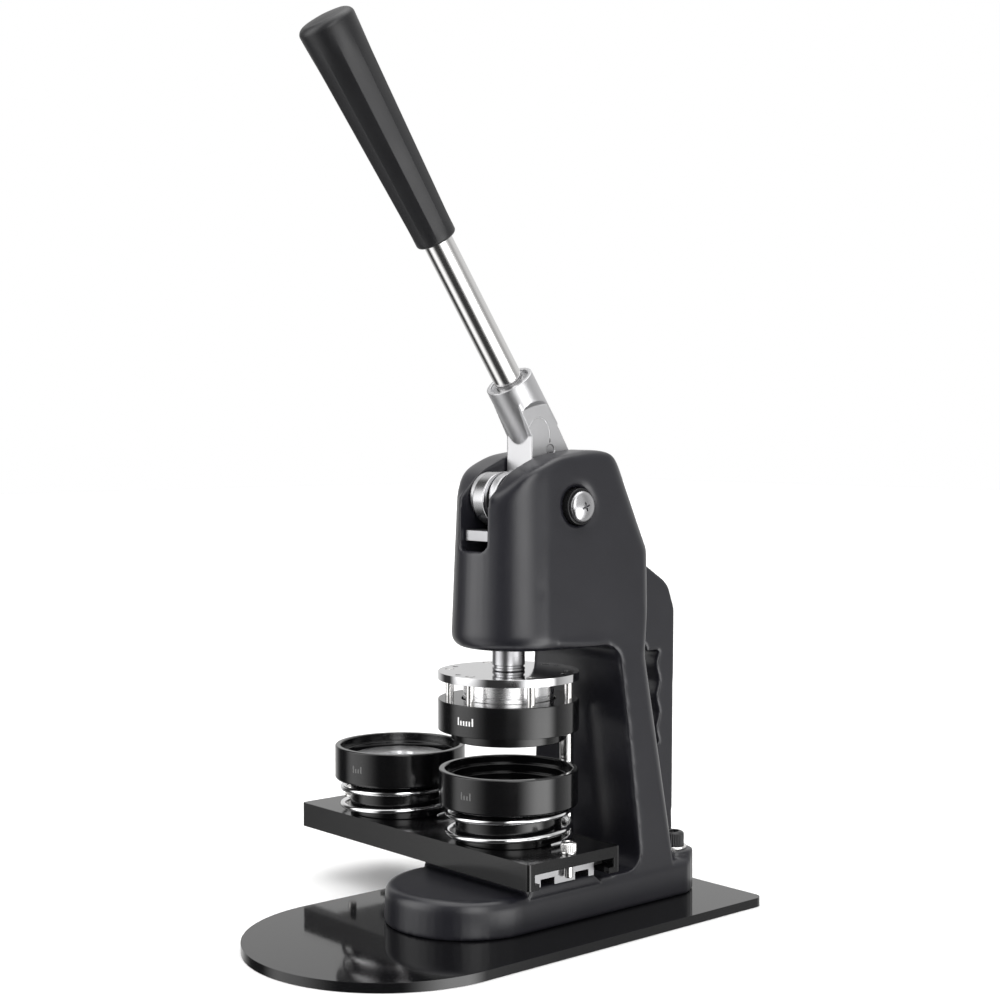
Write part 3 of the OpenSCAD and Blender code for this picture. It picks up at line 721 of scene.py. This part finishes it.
def index_mark(name, body, x, radius, heading, low, high, count, gap, material):
    """A plain row of printed ticks on a turned face, in place of the size lettering."""
    bm = bmesh.new()
    for k in range(count):
        middle = heading + (k - (count - 1) / 2) * gap / radius
        top = high if k in (0, count - 1) else low + (high - low) * 0.6
        half = 0.45 / radius
        corners = []
        for t in (middle - half, middle + half):
            for z in (low, top):
                for r in (radius - 0.1, radius + 0.03):
                    corners.append(bm.verts.new(((x + r * math.cos(t)) * MM, r * math.sin(t) * MM, z * MM)))
        for face in ((0, 1, 3, 2), (4, 6, 7, 5), (0, 4, 5, 1), (2, 3, 7, 6), (1, 5, 7, 3), (0, 2, 6, 4)):
            bm.faces.new([corners[i] for i in face])
    made = bpy.data.objects.new(name, mesh_of(name, bm))
    scene.collection.objects.link(made)
    made.data.materials.append(material)
    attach(made, body)


def make_marks():
    heading = math.atan2(toward.y, toward.x) - math.radians(37)
    index_mark("size_ticks", "upper_ring", 0, 38.9, heading, 111.6, 115.8, 6, 1.9, materials["white_print"])
    for side, x in DIE_X.items():
        index_mark(side + "_cup_ticks", side + "_cup", x, 38.5, heading, 71.5, 75.5, 4, 1.9, materials["grey_print"])


def repaint():
    """Every CAD node that still shows gets its slot's material."""
    for node, made in frame["nodes"].items():
        for held in made.material_slots:
            held.material = materials[slot_of[node]]


make_camera()
make_light()
make_floor()
materials = make_materials()
left_centre = (DIE_X["left"] * MM, 0, 0)
materials.update({
    "tube_chrome": finish("tube_chrome", (0.70, 0.695, 0.69), 0.18, metal=1.0, vary=0.03, tint=0.02, grain=500,
                          bump=0.002, lines="turned"),
    "disc_chrome": finish("disc_chrome", (0.62, 0.62, 0.63), 0.06, metal=1.0, vary=0.02, tint=0.02, grain=500,
                          bump=0.001, lines="turned"),
    "screw_satin": finish("screw_satin", (0.44, 0.44, 0.45), 0.30, metal=1.0, grain=1500, bump=0.01),
    "plate_steel": finish("plate_steel", (0.42, 0.42, 0.43), 0.34, metal=1.0, tint=0.16, grain=700, bump=0.02),
    # The socket recess's metal is painted darker than the lever, as painted shade in the recess
    "socket_recess_painted_shade": finish("socket_recess_painted_shade", (0.38, 0.38, 0.39), 0.30, metal=1.0, grain=1400, bump=0.01),
    "ram_steel": finish("ram_steel", (0.38, 0.38, 0.39), 0.30, metal=1.0, grain=1200, bump=0.006, lines="turned"),
    "tread_steel": finish("tread_steel", (0.50, 0.50, 0.51), 0.20, metal=1.0, grain=1200, bump=0.006, lines="X"),
    "rail_aluminium": finish("rail_aluminium", (0.50, 0.50, 0.51), 0.34, metal=1.0, grain=1100, bump=0.008,
                             lines="X"),
    "insert": finish("insert", (0.74, 0.74, 0.75), 0.24, metal=1.0, grain=900, bump=0.012, lines="turned",
                     centre=left_centre),
    "cup_left": finish("cup_left", (0.003, 0.003, 0.0034), 0.14, vary=0.03, grain=1000, bump=0.003, lines="turned",
                       centre=left_centre),
    "cup_right": finish("cup_right", (0.003, 0.003, 0.0034), 0.14, vary=0.03, grain=1000, bump=0.003,
                        lines="turned"),
    "white_print": finish("white_print", (0.78, 0.78, 0.78), 0.5, grain=2000),
    "grey_print": finish("grey_print", (0.10, 0.10, 0.10), 0.5, grain=2000),
})
repaint()
make_casting()
make_lever()
make_handle()
make_roller()
make_pivot()
make_ram()
make_dies()
make_slide()
make_base()
make_marks()
